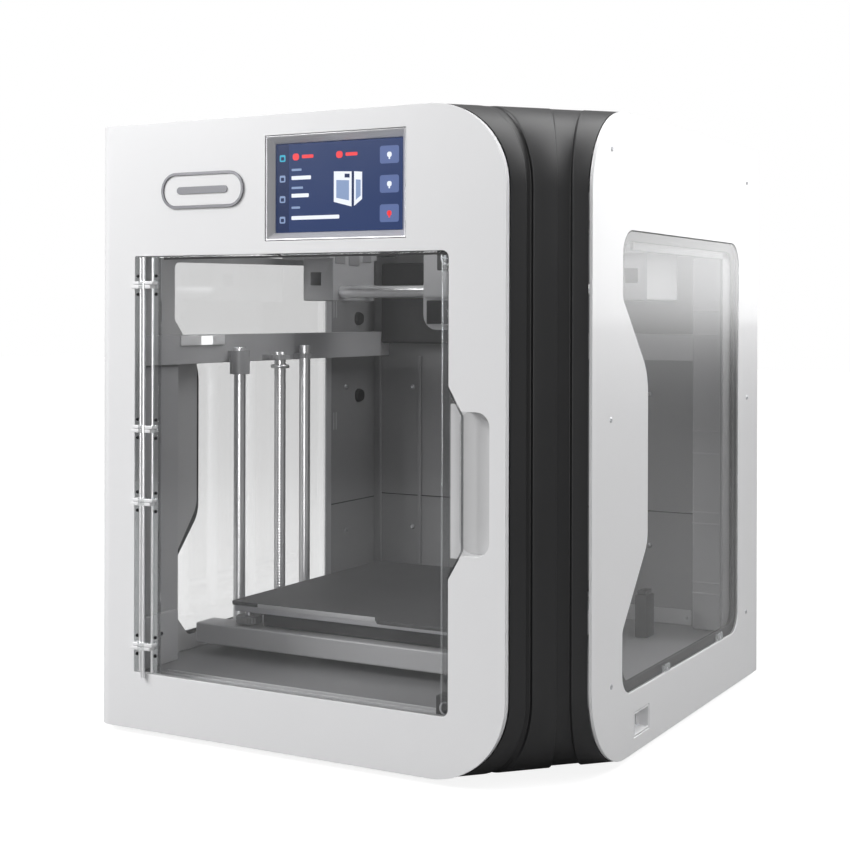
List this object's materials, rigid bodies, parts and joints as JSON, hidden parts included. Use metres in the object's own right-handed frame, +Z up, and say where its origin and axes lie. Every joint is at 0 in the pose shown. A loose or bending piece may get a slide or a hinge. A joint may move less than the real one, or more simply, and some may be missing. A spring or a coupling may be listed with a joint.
{
  "type": "fdm printer",
  "caption": "Enclosed desktop fused-filament 3-D printer with a clear hinged front door, side windows, a chamfered corner column, a touch screen and a lift-off top cover.",
  "frame": {"origin": "centre of the bounding box at the bottom, on the surface that the feet rest on", "axes": "+X to the right of the front door, -Y out of the front door, +Z up"},
  "size_m": [0.3186, 0.4132, 0.376],
  "materials": {
    "shell_white": "smooth satin white paint on sheet and plate",
    "moulded_white": "white moulded plastic",
    "column_black": "fine satin black moulded plastic",
    "window_clear": "clear polished acrylic",
    "gasket_rubber": "matt black rubber",
    "liner_grey": "fine-textured dark grey",
    "inner_grey": "light grey satin paint",
    "steel_polished": "polished hardened steel",
    "aluminium_plate": "milled aluminium",
    "screen_glass": "glossy display glass",
    "bezel_silver": "silver-grey painted plastic",
    "build_sheet": "dark textured coating on spring steel",
    "nozzle_brass": "turned brass",
    "inner_black": "black moulded plastic",
    "board_green": "circuit board",
    "belt_rubber": "toothed rubber belt"
  },
  "bodies": {
    "cabinet": {"back_liner": "liner_grey", "back_panel": "shell_white", "badge": "bezel_silver", "base_pan": "inner_grey", "chamber_floor": "inner_grey", "control_board": "board_green", "corner_column": "column_black", "door_magnet_lower": "inner_grey", "door_magnet_upper": "inner_grey", "drive_belt": "belt_rubber", "filter_box": "inner_black", "foot_front_left": "gasket_rubber", "foot_front_right": "gasket_rubber", "foot_rear_left": "gasket_rubber", "foot_rear_right": "gasket_rubber", "front_plate": "shell_white", "front_post": "inner_grey", "hinge_fixed_leaf": "window_clear", "hinge_pin": "steel_polished", "left_side_panel": "shell_white", "left_window": "window_clear", "left_window_gasket": "gasket_rubber", "power_inlet": "inner_black", "power_supply": "aluminium_plate", "rear_frame": "inner_grey", "right_side_panel": "shell_white", "right_window": "window_clear", "right_window_gasket": "gasket_rubber", "screen_bezel": "bezel_silver", "spool_holder": "moulded_white", "top_frame": "column_black", "touch_screen": "screen_glass", "usb_port": "moulded_white", "wall_beam_left": "inner_grey", "xy_motor_left": "inner_black", "xy_motor_right": "inner_black", "y_rod_left": "steel_polished", "y_rod_right": "steel_polished", "z_motor": "inner_black", "z_rod_front": "steel_polished", "z_rod_rear": "steel_polished"},
    "door": {"door_glass": "window_clear", "hinge_door_leaf": "window_clear"},
    "bed": {"bed_carrier": "inner_black", "bed_frame": "inner_grey", "heated_bed": "aluminium_plate", "build_plate": "build_sheet"},
    "knob_1": {"levelling_knob_1": "moulded_white"},
    "knob_2": {"levelling_knob_2": "moulded_white"},
    "knob_3": {"levelling_knob_3": "moulded_white"},
    "z_screw": {"lead_screw": "steel_polished"},
    "gantry": {"y_carriage_left": "inner_grey", "y_carriage_right": "inner_grey", "x_rod_front": "steel_polished", "x_rod_rear": "steel_polished"},
    "toolhead": {"toolhead_shell": "moulded_white", "nozzle": "nozzle_brass"},
    "fan": {"exhaust_fan": "inner_black"},
    "switch": {"power_switch": "inner_black"},
    "cover": {"top_cover": "window_clear"}
  },
  "joints": [
    {"name": "door_hinge", "type": "hinge", "parent": "cabinet", "child": "door", "pos_m": [-0.12125, -0.2032, 0.1667], "axis": [0, 0, -1], "range_deg": [0, 120]},
    {"name": "bed_lift", "type": "slide", "parent": "cabinet", "child": "bed", "axis": [0, 0, 1], "range_m": [0, 0.167]},
    {"name": "screw_turn", "type": "hinge", "parent": "cabinet", "child": "z_screw", "pos_m": [-0.12775, -0.0489, 0.13], "axis": [0, 0, 1], "continuous": true},
    {"name": "gantry_y", "type": "slide", "parent": "cabinet", "child": "gantry", "axis": [0, 1, 0], "range_m": [-0.12, 0.055]},
    {"name": "toolhead_x", "type": "slide", "parent": "gantry", "child": "toolhead", "axis": [1, 0, 0], "range_m": [-0.077, 0.073]},
    {"name": "cover_lift", "type": "slide", "parent": "cabinet", "child": "cover", "axis": [0, 0, 1], "range_m": [0, 0.05]},
    {"name": "fan_spin", "type": "hinge", "parent": "cabinet", "child": "fan", "pos_m": [0.07775, 0.1246, 0.315], "axis": [0, 1, 0], "continuous": true},
    {"name": "switch_rock", "type": "hinge", "parent": "cabinet", "child": "switch", "pos_m": [-0.06875, 0.1336, 0.02], "axis": [-1, 0, 0], "range_deg": [0, 8]},
    {"name": "knob_1_turn", "type": "hinge", "parent": "bed", "child": "knob_1", "pos_m": [-0.11025, -0.1089, 0.058], "axis": [0, 0, 1], "continuous": true},
    {"name": "knob_2_turn", "type": "hinge", "parent": "bed", "child": "knob_2", "pos_m": [0.06475, -0.1089, 0.058], "axis": [0, 0, 1], "continuous": true},
    {"name": "knob_3_turn", "type": "hinge", "parent": "bed", "child": "knob_3", "pos_m": [-0.02525, 0.0636, 0.058], "axis": [0, 0, 1], "continuous": true}
  ],
  "couplings": [
    {"joint": "screw_turn", "follows": "bed_lift", "rad_per_m": -785.4}
  ]
}
